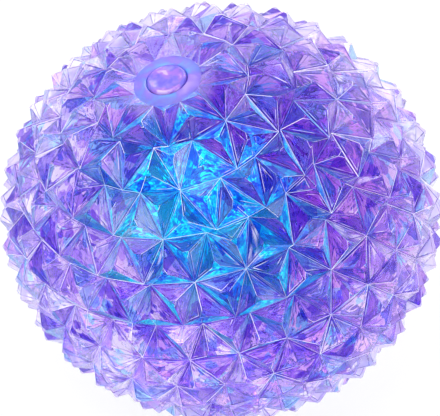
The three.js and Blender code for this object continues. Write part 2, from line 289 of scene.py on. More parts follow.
# Soft lamps of the stage: name, place and width in metres, power in watts
STAGE_LAMPS = (
    ("key_lamp", (-0.3, -0.2, 0.6), 0.5, 4.5),
    ("fill_lamp", (0.5, -0.15, 0.35), 0.35, 2),
    ("back_lamp", (0.1, 0.5, 0.45), 0.35, 2),
)


# Sizes and colours that a user may change

LengthProperty = partial(FloatProperty, unit="LENGTH")
ShareProperty = partial(FloatProperty, subtype="FACTOR")
ShiftProperty = partial(FloatVectorProperty, subtype="TRANSLATION", unit="LENGTH", size=3)
ColourProperty = partial(FloatVectorProperty, subtype="COLOR", size=3)


class SkinSettings(bpy.types.PropertyGroup):
    """Spiky skin"""

    valley_radius: LengthProperty(
        name="Valley radius",
        description="Radius to the valleys between the spikes, before the ball sags",
        default=46.8 * MM,
    )
    spike_height: LengthProperty(
        name="Spike height", description="Height of a spike above the valleys", default=3.2 * MM
    )
    height_scatter: ShareProperty(
        name="Height scatter",
        description="How much the spikes differ in height, as a share of it",
        default=0.06,
    )
    tip_size: ShareProperty(
        name="Tip size",
        description="Width of a spike below its round tip, as a share of its base",
        default=0.15,
    )
    tip_round: LengthProperty(
        name="Tip rounding", description="Height of a spike's round tip", default=0.35 * MM
    )
    ridge_width: ShareProperty(
        name="Ridge width", description="Rounded border of a facet, as a share of the facet", default=0.028
    )
    wall: LengthProperty(name="Wall", description="Thickness of the skin under a valley", default=2.6 * MM)
    patch_radius: LengthProperty(
        name="Patch radius", description="Smooth patch of skin round the plug", default=7.3 * MM
    )
    cap_radius: LengthProperty(
        name="Cap radius", description="Last group of spikes, away from the plug", default=12.1 * MM
    )
    seed: IntProperty(name="Seed", description="Fixes the scatter of the spikes", default=7)


class PlugSettings(bpy.types.PropertyGroup):
    """Filler plug"""

    radius: LengthProperty(name="Radius", description="Radius of the plug's head", default=4.15 * MM)
    flange: LengthProperty(name="Flange", description="Thickness of the plug's head", default=1.2 * MM)
    rim: LengthProperty(name="Rim", description="Width of the raised rim", default=1.0 * MM)
    rim_rise: LengthProperty(
        name="Rim rise", description="Height of the rim above the skin", default=0.3 * MM
    )
    neck_radius: LengthProperty(
        name="Neck radius", description="Radius of the neck that passes through the skin", default=2.6 * MM
    )
    barb_radius: LengthProperty(
        name="Barb radius", description="Radius of the barb that holds the plug in", default=4.0 * MM
    )
    barb_length: LengthProperty(name="Barb length", description="Length of the barb", default=1.8 * MM)
    stalk_radius: LengthProperty(
        name="Stalk radius", description="Radius of the stalk that carries the capsule", default=1.9 * MM
    )
    stalk_length: LengthProperty(
        name="Stalk length", description="Length of the stalk below the barb", default=20.5 * MM
    )
    clearance: LengthProperty(
        name="Clearance", description="Gap between the plug and what it fits in", default=0.3 * MM
    )


class GlowSettings(bpy.types.PropertyGroup):
    """Gel and lamps"""

    gel_density: FloatProperty(
        name="Gel density",
        description="How strongly the gel takes up light in its middle, per metre",
        default=52,
    )
    core_shift: ShiftProperty(
        name="Core shift",
        description="From the middle of the ball to the middle of the darkest gel",
        default=(3.5 * MM, 6 * MM, 5.5 * MM),
    )
    heart_shift: ShiftProperty(
        name="Heart shift",
        description="From the middle of the capsule to the middle of the gel that it lights",
        default=(1.5 * MM, -3 * MM, -2 * MM),
    )
    heart_span: ShiftProperty(
        name="Heart span",
        description="From the middle of the lit gel to the middle of its right end",
        default=(5.5 * MM, -1.5 * MM, -2.5 * MM),
    )
    gel_colour: ColourProperty(
        name="Gel colour",
        description="Light that the gel lets through, away from the red lamp",
        default=(0.41, 0.07, 0.81),
    )
    # Painted light of the red lamp: the gel's colour turns pinker towards this side
    red_side: ShiftProperty(
        name="Red side",
        description="From the middle of the ball to the middle of the gel that the red lamp tints",
        default=(30 * MM, -8 * MM, -18 * MM),
    )
    red_colour: ColourProperty(
        name="Red side's colour",
        description="Light that the gel lets through on the red lamp's side",
        default=(0.56, 0.01, 0.79),
    )
    # Painted glow: the gel's light stands in for the capsule's light spread through it
    gel_glow: ColourProperty(
        name="Gel glow", description="Light that the gel gives", default=(0.015, 0.0, 0.20)
    )
    # Painted light round the capsule: this glow, and the heart colour further on, stand in for the capsule's
    # light
    heart_glow: ColourProperty(
        name="Heart glow",
        description="Light that the gel gives close to the lit capsule",
        default=(0.0, 4.5, 2.2),
        max=10,
    )
    heart_density: FloatProperty(
        name="Heart density",
        description="How strongly the gel close to the capsule takes up light, per metre",
        default=135,
    )
    heart_colour: ColourProperty(
        name="Heart colour",
        description="Light that the gel close to the capsule lets through",
        default=(0.0, 0.87, 0.85),
    )
    gel_strength: FloatProperty(
        name="Gel strength", description="Strength of the light that the gel gives, per metre", default=5.0
    )
    strength: FloatProperty(name="Strength", description="Strength of the capsule's light", default=0.85)


class CoilSettings(bpy.types.PropertyGroup):
    """Coil of the shake switch"""

    radius: LengthProperty(name="Radius", description="Radius to the middle of the wire", default=1.9 * MM)
    wire: LengthProperty(name="Wire", description="Diameter of the wire", default=0.5 * MM)
    pitch: LengthProperty(name="Pitch", description="Height of one turn", default=1.1 * MM)
    turns: IntProperty(name="Turns", description="Turns of the coil", default=7)


class StageSettings(bpy.types.PropertyGroup):
    """Camera and lights"""

    distance: LengthProperty(
        name="Distance", description="From the camera to the middle of the ball", default=374.4 * MM
    )
    elevation: FloatProperty(
        name="Elevation",
        description="Height of the camera above the horizon",
        default=math.radians(45),
        subtype="ANGLE",
    )
    roll: FloatProperty(
        name="Roll",
        description="Turn of the camera about its line of sight",
        default=math.radians(4.03),
        subtype="ANGLE",
    )
    lens: FloatProperty(
        name="Lens", description="Focal length on a 36 mm sensor", default=136.2, unit="CAMERA"
    )
    frame_side: FloatProperty(
        name="Frame side",
        description="How far the ball sits left of the picture's middle, as a share of its width",
        default=-0.004,
    )
    frame_drop: FloatProperty(
        name="Frame drop",
        description="How far the ball sits below the picture's middle, as a share of its width",
        default=0.0035,
    )


# Node and mesh helpers


def add_node(tree, kind, inputs=None, **settings):
    """A node with its settings made, whose inputs are linked to sockets or set to values."""
    node = tree.nodes.new(kind)
    for name, value in settings.items():
        setattr(node, name, value)
    for key, value in (inputs or {}).items():
        socket = node.inputs[key]
        if isinstance(value, bpy.types.NodeSocket):
            tree.links.new(value, socket)
        else:
            socket.default_value = value
    return node


def outcome(tree, kind, inputs=None, **settings):
    """The first output of a new node."""
    return add_node(tree, kind, inputs, **settings).outputs[0]


def number(tree, operation, *values):
    """What a Math node makes of sockets and numbers."""
    return outcome(tree, "ShaderNodeMath", dict(enumerate(values)), operation=operation)


def vector(tree, operation, *values):
    """What a Vector Math node makes of sockets and vectors."""
    return outcome(tree, "ShaderNodeVectorMath", dict(enumerate(values)), operation=operation)


def scaled(tree, way, scale):
    return outcome(tree, "ShaderNodeVectorMath", {0: way, "Scale": scale}, operation="SCALE")


def distance(tree, place, point):
    node = add_node(tree, "ShaderNodeVectorMath", {0: place, 1: point}, operation="DISTANCE")
    return node.outputs["Value"]


def ranged(tree, value, start, end, smooth=False):
    """Leads a value from start to end, each a value and what becomes of it, and holds it beyond them."""
    inputs = {"Value": value, "From Min": start[0], "From Max": end[0], "To Min": start[1], "To Max": end[1]}
    kind = "SMOOTHSTEP" if smooth else "LINEAR"
    return outcome(tree, "ShaderNodeMapRange", inputs, interpolation_type=kind)


def opaque(colour):
    """A colour with full alpha. A socket stays as it is."""
    return colour if isinstance(colour, bpy.types.NodeSocket) else (*colour, 1.0)


def mixed(tree, share, first, second, blend="MIX"):
    """Two colours mixed, the second with this share."""
    inputs = {0: share, 6: opaque(first), 7: opaque(second)}
    return add_node(tree, "ShaderNodeMix", inputs, data_type="RGBA", blend_type=blend).outputs[2]


def start_material(name):
    material = bpy.data.materials.new(name)
    material.use_nodes = True
    material.node_tree.nodes.clear()
    return material, material.node_tree


def end_material(tree, surface, volume=None):
    output = add_node(tree, "ShaderNodeOutputMaterial", {"Surface": surface})
    if volume is not None:
        tree.links.new(volume, output.inputs["Volume"])


def end_principled(tree, inputs):
    """Ends a material in one Principled surface."""
    end_material(tree, outcome(tree, "ShaderNodeBsdfPrincipled", inputs))


def start_geometry(name, **sockets):
    """A Geometry Nodes tree with named inputs, listed by their kind, and what its input node gives."""
    tree = bpy.data.node_groups.new(name, "GeometryNodeTree")
    for kind, labels in sockets.items():
        for label in labels:
            tree.interface.new_socket(label, in_out="INPUT", socket_type="NodeSocket" + kind)
    tree.interface.new_socket("Geometry", in_out="OUTPUT", socket_type="NodeSocketGeometry")
    return tree, tree.nodes.new("NodeGroupInput").outputs


def end_geometry(tree, geometry, *paints):
    """Ends a tree in plain geometry, painted with each material where its selection holds."""
    geometry = outcome(tree, "GeometryNodeRealizeInstances", {"Geometry": geometry})
    for material, selection in paints:
        inputs = {"Geometry": geometry, "Selection": selection, "Material": material}
        geometry = outcome(tree, "GeometryNodeSetMaterial", inputs)
    add_node(tree, "NodeGroupOutput", {"Geometry": geometry})


def by_label(settings):
    """Settings under their labels, which are the names of the trees' inputs too."""
    properties = settings.bl_rna.properties
    return {properties[key].name: getattr(settings, key) for key in type(settings).__annotations__}


def plain_mesh(obj, tree, values):
    """Gives obj the mesh that the tree makes with these inputs, and leaves no modifier on it."""
    modifier = obj.modifiers.new(tree.name, "NODES")
    modifier.node_group = tree
    for item in tree.interface.items_tree:
        if item.in_out == "INPUT" and item.name in values:
            modifier[item.identifier] = values[item.name]
    depsgraph = bpy.context.evaluated_depsgraph_get()
    result = bpy.data.meshes.new_from_object(
        obj.evaluated_get(depsgraph), preserve_all_data_layers=True, depsgraph=depsgraph
    )
    obj.modifiers.remove(modifier)
    obj.data = result
    result.name = obj.name


def new_piece(name, mesh):
    obj = bpy.data.objects.new(name, mesh)
    bpy.context.scene.collection.objects.link(obj)
    return obj


def dress_soft(piece, node):
    """A soft piece rides on the ball, gets a mesh of its own and stands for its solid."""
    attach(piece, "ball")
    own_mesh(piece)
    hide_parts(node)


def mesh_of(name, shape):
    """A smooth mesh from a bmesh, with its faces turned outwards."""
    bmesh.ops.recalc_face_normals(shape, faces=shape.faces)
    mesh = bpy.data.meshes.new(name)
    shape.to_mesh(mesh)
    shape.free()
    mesh.shade_smooth()
    return mesh


def join_rows(shape, rows):
    """Faces between rows of vertices that go round an axis. A row of one vertex is a pole."""
    faces = []
    for upper, lower in zip(rows, rows[1:]):
        sides = max(len(upper), len(lower))
        for i in range(sides):
            corners = [
                upper[i % len(upper)],
                lower[i % len(lower)],
                lower[(i + 1) % len(lower)],
                upper[(i + 1) % len(upper)],
            ]
            faces.append(shape.faces.new(list(dict.fromkeys(corners))))
    return faces


# Places on the ball


def on_ball(angle, turn, radius):
    """A point of the resting ball from its angle off the plug's axis, its turn about it and its radius."""
    sideways = ACROSS_AXIS * math.cos(turn) + AROUND_AXIS * math.sin(turn)
    point = (PLUG_AXIS * math.cos(angle) + sideways * math.sin(angle)) * radius
    point.z *= SAG
    return BALL_CENTRE + point


def plug_frame(radius):
    """The plug's frame: Z stands square to the skin, X lies along the turn of nought."""
    normal = Vector((PLUG_AXIS.x, PLUG_AXIS.y, PLUG_AXIS.z / SAG)).normalized()
    across = (ACROSS_AXIS - normal * normal.dot(ACROSS_AXIS)).normalized()
    around = normal.cross(across)
    turned = Matrix((across, around, normal)).transposed().to_4x4()
    return Matrix.Translation(on_ball(0, 0, radius)) @ turned


def plug_row(shape, place, turns, radius, height):
    return [
        shape.verts.new(place @ Vector((radius * math.cos(turn), radius * math.sin(turn), height)))
        for turn in turns
    ]


def plug_pole(shape, place, height):
    return [shape.verts.new(place @ Vector((0, 0, height)))]


def ball_rows(shape, hole, radius, turns, count):
    """Rows of vertices on the ball, from the edge of a hole about the plug's axis to the far pole."""
    first = math.asin(hole / radius)
    rows = []
    for row in range(count):
        angle = first + (math.pi - first) * row / count
        rows.append([shape.verts.new(on_ball(angle, turn, radius)) for turn in turns])
    rows.append([shape.verts.new(on_ball(math.pi, 0, radius))])
    return rows


def even_turns(sides):
    return [2 * math.pi * i / sides for i in range(sides)]


# Spiky skin


def turn_gap(a, b):
    return abs((a - b + 180) % 360 - 180)


def upper_corner(band, i):
    spikes, turn = band
    return turn + i * 360 / spikes


def lower_corner(band, i):
    return upper_corner(band, i + 0.5)


def ring_turns(ring):
    """Turns in degrees of the corners that the bands above and below leave on a ring."""
    if ring == 0:
        own = [BANDS[0][1] + i * 360 / PATCH_SIDES for i in range(PATCH_SIDES)]
    else:
        above = BANDS[ring - 1]
        own = [lower_corner(above, i) for i in range(above[0])]
    if ring == len(BANDS):
        other = [i * 360 / CAP_SPIKES for i in range(CAP_SPIKES)]
    else:
        below = BANDS[ring]
        other = [upper_corner(below, i) for i in range(below[0])]
    apart = [turn for turn in other if all(turn_gap(turn, near) > SNAP_ANGLE for near in own)]
    return sorted(turn % 360 for turn in own + apart)


def ring_run(ring, start, end):
    """The ring's vertices from one turn round to another, each end moved to the nearest there is."""
    turns, verts = ring
    places = range(len(turns))
    here = min(places, key=lambda k: turn_gap(turns[k], start))
    last = min(places, key=lambda k: turn_gap(turns[k], end))
    run = [verts[here]]
    while here != last:
        here = (here + 1) % len(turns)
        run.append(verts[here])
    return run


def valley_net(skin, plug):
    """Cells between the valleys, the plug's seat and the inner wall, as one closed mesh.

    A cell that bears a spike is marked, and holds the way to its tip from the middle of the ball.
    """
    net = bmesh.new()
    spike = net.faces.layers.bool.new("spike")
    lining = net.faces.layers.bool.new("lining")
    seat = net.faces.layers.bool.new("seat")
    way = net.faces.layers.float_vector.new("way")
    first = math.asin(skin.patch_radius / skin.valley_radius)
    last = math.pi - math.asin(skin.cap_radius / skin.valley_radius)

    def ring_of(ring):
        angle = first + (last - first) * ring / len(BANDS)
        turns = ring_turns(ring)
        points = [on_ball(angle, math.radians(turn), skin.valley_radius) for turn in turns]
        return turns, [net.verts.new(point) for point in points]

    def cell(outline, corners):
        face = net.faces.new(outline)
        middle = sum(((corner.co - BALL_CENTRE) for corner in corners), Vector())
        middle.z /= SAG
        middle.normalize()
        middle.z *= SAG
        face[spike] = True
        face[way] = middle

    rings = [ring_of(ring) for ring in range(len(BANDS) + 1)]
    for band, upper, lower in zip(BANDS, rings, rings[1:]):
        for i in range(band[0]):
            top = ring_run(upper, upper_corner(band, i), upper_corner(band, i))[0]
            foot = ring_run(lower, lower_corner(band, i), lower_corner(band, i))[0]
            base = ring_run(lower, lower_corner(band, i - 1), lower_corner(band, i))
            brow = ring_run(upper, upper_corner(band, i), upper_corner(band, i + 1))
            cell(base + [top], [base[0], base[-1], top])
            cell([foot] + brow[::-1], [foot, brow[0], brow[-1]])

    end = net.verts.new(on_ball(math.pi, 0, skin.valley_radius))
    for i in range(CAP_SPIKES):
        brow = ring_run(rings[-1], i * 360 / CAP_SPIKES, (i + 1) * 360 / CAP_SPIKES)
        cell([end] + brow[::-1], [end, brow[0], brow[-1]])

    place = plug_frame(skin.valley_radius)
    turns = [math.radians(turn) for turn in rings[0][0]]
    seat_radius = plug.radius + plug.clearance
    bore_radius = plug.neck_radius + plug.clearance
    seat_floor = -plug.flange - plug.clearance
    profile = [(share * skin.patch_radius, height) for share, height in PATCH_PROFILE]
    profile += [(share * seat_radius, height) for share, height in SEAT_PROFILE]
    profile += [(seat_radius, seat_floor), (bore_radius, seat_floor)]
    rows = [rings[0][1]]
    rows += [plug_row(net, place, turns, radius, height) for radius, height in profile]
    inner_rows = ball_rows(net, bore_radius, skin.valley_radius - skin.wall, turns, LINING_ROWS)
    for face in join_rows(net, rows + inner_rows[:1]):
        face[seat] = True
    for face in join_rows(net, inner_rows):
        face[lining] = True
    return mesh_of("valley_net", net)


def kept(tree, name, kind):
    """An attribute of the mesh."""
    node = add_node(tree, "GeometryNodeInputNamedAttribute", {"Name": name}, data_type=kind)
    return node.outputs["Attribute"]


def stored(tree, geometry, name, value, kind="FLOAT", domain="FACE"):
    """The geometry with the value in an attribute."""
    inputs = {"Geometry": geometry, "Name": name, "Value": value}
    return outcome(tree, "GeometryNodeStoreNamedAttribute", inputs, data_type=kind, domain=domain)


def drawn(tree, seed, low=0.0, high=1.0):
    """A random number for each element."""
    inputs = {"Min": low, "Max": high, "Seed": seed}
    return add_node(tree, "FunctionNodeRandomValue", inputs, data_type="FLOAT").outputs["Value"]


def raised_faces(tree, mesh, selection, height=0.0):
    """Outputs of a node that raises each chosen face by itself."""
    inputs = {"Mesh": mesh, "Selection": selection, "Offset Scale": height, "Individual": True}
    return add_node(tree, "GeometryNodeExtrudeMesh", inputs, mode="FACES").outputs


def shrunk_faces(tree, geometry, selection, share):
    inputs = {"Geometry": geometry, "Selection": selection, "Scale": share}
    return outcome(tree, "GeometryNodeScaleElements", inputs, domain="FACE")


def moved(tree, geometry, position, selection=True):
    inputs = {"Geometry": geometry, "Selection": selection, "Position": position}
    return outcome(tree, "GeometryNodeSetPosition", inputs)


def facet_marks(tree, top):
    """Places on a facet: across its foot from 0 to 1, and up to its tip from 0 to 1."""
    up = outcome(tree, "GeometryNodeFieldOnDomain", {"Value": top}, data_type="BOOLEAN", domain="POINT")
    after = outcome(tree, "GeometryNodeOffsetCornerInFace", {"Offset": 1})
    at_next = {"Value": up, "Index": after}
    up_after = outcome(tree, "GeometryNodeFieldAtIndex", at_next, data_type="FLOAT", domain="CORNER")
    across = outcome(tree, "ShaderNodeMix", {0: up, 2: up_after, 3: 0.5}, data_type="FLOAT")
    return outcome(tree, "ShaderNodeCombineXYZ", {0: across, 1: up})


def spike_tree():
    """Grows a blunt spike with rounded ridges on every marked cell, and presses the foot flat."""
    tree, given = start_geometry(
        "Spikes",
        Geometry=("Net",),
        Vector=("Ball centre",),
        Float=("Valley radius", "Spike height", "Height scatter", "Tip size", "Tip rounding", "Ridge width"),
        Int=("Seed",),
        Material=("Outside", "Inside", "Patch"),
    )

    # Each spike gets a height of its own
    least = number(tree, "SUBTRACT", 1.0, given["Height scatter"])
    most = number(tree, "ADD", 1.0, given["Height scatter"])
    lifted = stored(tree, given["Net"], "lift", drawn(tree, given["Seed"], least, most))
    raised = raised_faces(tree, lifted, kept(tree, "spike", "BOOLEAN"))

    # Tips
    lift = kept(tree, "lift", "FLOAT")
    reach = number(tree, "MULTIPLY_ADD", given["Spike height"], lift, given["Valley radius"])
    shoulder = number(tree, "SUBTRACT", reach, given["Tip rounding"])
    out = scaled(tree, kept(tree, "way", "FLOAT_VECTOR"), shoulder)
    tip = vector(tree, "ADD", given["Ball centre"], out)
    here = outcome(tree, "GeometryNodeInputPosition")
    blunt = scaled(tree, vector(tree, "SUBTRACT", here, tip), given["Tip size"])
    tipped = moved(tree, raised["Mesh"], vector(tree, "ADD", tip, blunt), raised["Top"])

    # Facets, each with a tone of its own and a border that rounds the ridges
    lot = drawn(tree, number(tree, "ADD", given["Seed"], 1.0))
    tone = outcome(tree, "ShaderNodeMix", {0: raised["Side"], 2: 0.5, 3: lot}, data_type="FLOAT")
    toned = stored(tree, tipped, "tone", tone)
    marked = stored(tree, toned, "facet", facet_marks(tree, raised["Top"]), "FLOAT_VECTOR", "CORNER")
    bordered = raised_faces(tree, marked, raised["Side"])
    facet_share = number(tree, "SUBTRACT", 1.0, given["Ridge width"])
    faceted = shrunk_faces(tree, bordered["Mesh"], bordered["Top"], facet_share)
    # Each ridge's lot picks its painted dark line or its painted glint
    glint = drawn(tree, number(tree, "ADD", given["Seed"], 2.0))
    ridged = stored(tree, faceted, "ridge", number(tree, "MULTIPLY", bordered["Side"], glint))
    flat = {"Geometry": ridged, "Selection": bordered["Top"], "Shade Smooth": False}
    crisp = outcome(tree, "GeometryNodeSetShadeSmooth", flat, domain="FACE")

    # Round tips
    capped = raised_faces(tree, crisp, raised["Top"], given["Tip rounding"])
    rounded = shrunk_faces(tree, capped["Mesh"], capped["Top"], TIP_TOP)

    # Foot
    pressed = moved(tree, rounded, vector(tree, "MAXIMUM", here, (-1.0, -1.0, 0.0)))
    outside = (given["Outside"], True)
    inside = (given["Inside"], kept(tree, "lining", "BOOLEAN"))
    patch = (given["Patch"], kept(tree, "seat", "BOOLEAN"))
    end_geometry(tree, pressed, outside, inside, patch)
    return tree


def colour_steps(tree, fac, steps, sharp=False):
    """A colour ramp through (place, colour) steps, which blend into each other unless they are sharp."""
    ramp = add_node(tree, "ShaderNodeValToRGB", {"Fac": fac})
    ramp.color_ramp.interpolation = "CONSTANT" if sharp else "LINEAR"
    elements = ramp.color_ramp.elements
    while len(elements) < len(steps):
        elements.new(0.5)
    for element, (place, colour) in zip(elements, steps):
        element.position = place
        element.color = colour if len(colour) == 4 else (*colour, 1.0)
    return ramp.outputs


def attribute(tree, name, output="Fac"):
    return add_node(tree, "ShaderNodeAttribute", attribute_name=name).outputs[output]


def object_place(tree):
    return add_node(tree, "ShaderNodeTexCoord").outputs["Object"]


def noise(tree, place, scale, detail, distortion=0.0):
    """Soft noise from 0 to 1, with this many waves to a unit of the place."""
    inputs = {"Vector": place, "Scale": scale, "Detail": detail, "Distortion": distortion}
    return add_node(tree, "ShaderNodeTexNoise", inputs).outputs["Fac"]


def relief(tree, height, strength, depth, **under):
    """A normal that follows a fine relief, on top of the Normal that is under it."""
    inputs = {"Height": height, "Strength": strength, "Distance": depth}
    return outcome(tree, "ShaderNodeBump", inputs | under)


def facet_place(tree):
    """Across a facet's foot from 0 to 1, and up to its tip from 0 to 1."""
    place = add_node(tree, "ShaderNodeSeparateXYZ", {0: attribute(tree, "facet", "Vector")})
    return place.outputs[0], place.outputs[1]


def facet_streaks(tree, across, up, tone):
    """Fine streaks that fan out from the feet of each facet."""
    left = number(tree, "ARCTAN2", up, across)
    right = number(tree, "ARCTAN2", up, number(tree, "SUBTRACT", 1.0, across))
    own = number(tree, "MULTIPLY", tone, STREAK_STEP)
    fan = outcome(tree, "ShaderNodeCombineXYZ", {0: left, 1: right, 2: own})
    return noise(tree, fan, STREAKS, detail=0.6)


def facet_inset(tree, across, up):
    """How far in from a facet's nearest side, as a share of its height."""
    sideways = number(tree, "ABSOLUTE", number(tree, "SUBTRACT", across, 0.5))
    taper = number(tree, "MULTIPLY_ADD", sideways, -2.0, 1.0)
    return number(tree, "MINIMUM", number(tree, "SUBTRACT", taper, up), up)


def ridge_glints(tree, ridge, inset, drift):
    """Share of painted pale highlight on the bright ridges and on broken thin lines beside them."""
    glint = ranged(tree, ridge, *GLINT_RANGE)
    from_line = number(tree, "ABSOLUTE", number(tree, "SUBTRACT", inset, LINE_INSET))
    line = ranged(tree, from_line, *LINE_RANGE)
    broken = ranged(tree, drift, *BREAK_RANGE)
    return number(tree, "MAXIMUM", glint, number(tree, "MULTIPLY", line, broken))


def rim_sheen(tree, place):
    """Share of painted pale sheen that grows towards the rim of the ball, whatever way a facet looks."""
    outward = vector(tree, "NORMALIZE", vector(tree, "SUBTRACT", place, BALL_CENTRE))
    graze = add_node(tree, "ShaderNodeLayerWeight", {"Blend": 0.5, "Normal": outward})
    steep = number(tree, "POWER", graze.outputs["Facing"], SHEEN_POWER)
    return number(tree, "MULTIPLY", steep, SHEEN_SHARE)


def clear_rubber(skin):
    """Clear tinted rubber with painted shade as dark lines along its ridges and facets' sides, painted glints
    on its ridges and a painted sheen at the ball's rim.
    """
    material, tree = start_material("clear_skin")
    place = object_place(tree)
    tone = attribute(tree, "tone")
    ridge = attribute(tree, "ridge")
    across, up = facet_place(tree)
    inset = facet_inset(tree, across, up)
    streaks = facet_streaks(tree, across, up, tone)
    waves = noise(tree, place, WAVES, detail=1.5, distortion=1.0)
    wavy = relief(tree, waves, WAVE_STRENGTH, WAVE_DEPTH)
    normal = relief(tree, streaks, WAVE_STRENGTH, WAVE_DEPTH, Normal=wavy)

    # Tint of the clear rubber, with painted shade as dark lines on its ridges and beside its facets' sides
    drift = number(tree, "ADD", streaks, waves)
    shifted = number(tree, "MULTIPLY_ADD", drift, TINT_DRIFT, tone)
    hue = colour_steps(tree, number(tree, "SUBTRACT", shifted, TINT_DRIFT), SKIN_TINTS)
    depth = ranged(tree, drift, *TINT_RANGE, smooth=True)
    tint = mixed(tree, depth, WHITE, hue["Color"])
    # Painted shade: dark lines on the ridges, and dark lines just inside each facet's sides
    tint_and_ridge_shade = mixed(tree, 1.0, tint, colour_steps(tree, ridge, PAINTED_RIDGE_SHADE)["Color"], "MULTIPLY")
    tint_and_painted_shade = mixed(tree, depth, tint_and_ridge_shade, colour_steps(tree, inset, PAINTED_EDGE_SHADE)["Color"], "MULTIPLY")
    back = add_node(tree, "ShaderNodeNewGeometry").outputs["Backfacing"]
    clear = outcome(
        tree,
        "ShaderNodeBsdfPrincipled",
        {
            "Base Color": mixed(tree, back, tint_and_painted_shade, WHITE),
            "Roughness": 0.03,
            "IOR": RUBBER_IOR,
            "Specular Tint": (0.3, 0.4, 1.0, 1.0),
            "Transmission Weight": 1.0,
            "Normal": normal,
        },
    )

    # Pale share: painted glints and highlight lines, milky facets with a painted sheen towards the rim, and
    # the milky band round the patch
    # Painted highlights: pale and cyan glints on ridges and thin lines in the facets
    glints = ridge_glints(tree, ridge, inset, drift)
    haze = number(tree, "MULTIPLY", hue["Alpha"], streaks)
    # The milky facets' haze plus the painted sheen at the rim
    haze_and_painted_sheen = number(tree, "ADD", haze, rim_sheen(tree, place))
    share = number(tree, "MAXIMUM", glints, number(tree, "MULTIPLY", haze_and_painted_sheen, tint_and_painted_shade))
    sheen_colour = mixed(tree, 1.0, hue["Color"], SHEEN_COLOUR, "MULTIPLY")
    pale_colour = mixed(tree, glints, sheen_colour, colour_steps(tree, ridge, GLINT_SHADES)["Color"])
    from_plug = distance(tree, place, on_ball(0, 0, skin.valley_radius))
    edge = skin.patch_radius
    milky = ranged(tree, from_plug, (edge, MILKY_SHARE), (MILKY_REACH * edge, 0.0), smooth=True)
    pale = outcome(
        tree,
        "ShaderNodeBsdfPrincipled",
        {"Base Color": mixed(tree, milky, pale_colour, MILKY_COLOUR), "Roughness": 0.2, "Normal": normal},
    )
    pale_share = number(tree, "MAXIMUM", share, milky)
    end_material(tree, outcome(tree, "ShaderNodeMixShader", {0: pale_share, 1: clear, 2: pale}))
    return material


def fragments(tree, scale, steps):
    """Straight-edged fragments, each with one of the colours of the steps."""
    cells = add_node(tree, "ShaderNodeTexVoronoi", {"Vector": object_place(tree), "Scale": scale})
    lot = outcome(tree, "ShaderNodeSeparateColor", {0: cells.outputs["Color"]})
    return colour_steps(tree, lot, steps, sharp=True)["Color"]


def wet_inside():
    """The face where rubber meets gel. Its back shows the near wall's fragments, its front the far wall's."""
    material, tree = start_material("skin_lining")
    near = fragments(tree, NEAR_FRAGMENTS, NEAR_SHADES)
    far = fragments(tree, FAR_FRAGMENTS, FAR_SHADES)
    back = add_node(tree, "ShaderNodeNewGeometry").outputs["Backfacing"]
    end_material(tree, outcome(tree, "ShaderNodeBsdfTransparent", {"Color": mixed(tree, back, far, near)}))
    return material


def milky_rubber(name, clouds_per_metre, shades, clear_from, clear_at):
    """Smooth rubber with soft clouds of these shades, milky about the plug and clear further out."""
    material, tree = start_material(name)
    place = object_place(tree)
    clouds = noise(tree, place, clouds_per_metre, detail=2.0, distortion=0.6)
    from_plug = distance(tree, place, on_ball(0, 0, GEL_RADIUS))
    clear = ranged(tree, from_plug, (clear_from, 0.0), (clear_at, 1.0))
    cloudy = colour_steps(tree, clouds, shades)["Color"]
    inputs = {
        "Base Color": mixed(tree, clear, cloudy, FAR_TINT),
        "Roughness": 0.2,
        "IOR": RUBBER_IOR,
        "Transmission Weight": ranged(tree, clear, *CLEAR_RANGE),
        "Normal": relief(tree, clouds, CLOUD_STRENGTH, WAVE_DEPTH),
    }
    end_principled(tree, inputs)
    return material


class SPIKYBALL_OT_skin(bpy.types.Operator):
    """Build the clear skin with its bands of spikes"""

    bl_idname = "spikyball.skin"
    bl_label = "Spiky skin"

    def execute(self, context):
        skin = context.scene.spikyball_skin
        plug = context.scene.spikyball_plug
        piece = new_piece("clear_spiky_skin", valley_net(skin, plug))
        clear_from = CLEAR_FROM * plug.radius
        clear_at = CLEAR_AT * skin.patch_radius
        values = by_label(skin) | {
            "Ball centre": BALL_CENTRE,
            "Outside": clear_rubber(skin),
            "Inside": wet_inside(),
            "Patch": milky_rubber("skin_patch", PATCH_CLOUDS, PATCH_SHADES, clear_from, clear_at),
        }
        plain_mesh(piece, spike_tree(), values)
        dress_soft(piece, "spiky_skin")
        return {"FINISHED"}


# Gel


def gel_mesh(skin, plug):
    """The gel's sagged ball, with a dimple for the plug's barb."""
    shape = bmesh.new()
    turns = even_turns(GEL_SIDES)
    place = plug_frame(skin.valley_radius)
    barb_end = -skin.wall - plug.clearance - plug.barb_length
    dimple_radius = plug.barb_radius + plug.clearance
    dimple_end = barb_end - plug.clearance
    rows = [
        plug_pole(shape, place, dimple_end),
        plug_row(shape, place, turns, plug.stalk_radius + plug.clearance, dimple_end),
        plug_row(shape, place, turns, dimple_radius, barb_end + plug.barb_length / 2),
    ]
    rows += ball_rows(shape, dimple_radius, GEL_RADIUS, turns, GEL_ROWS)
    join_rows(shape, rows)
    return mesh_of("blue_gel", shape)


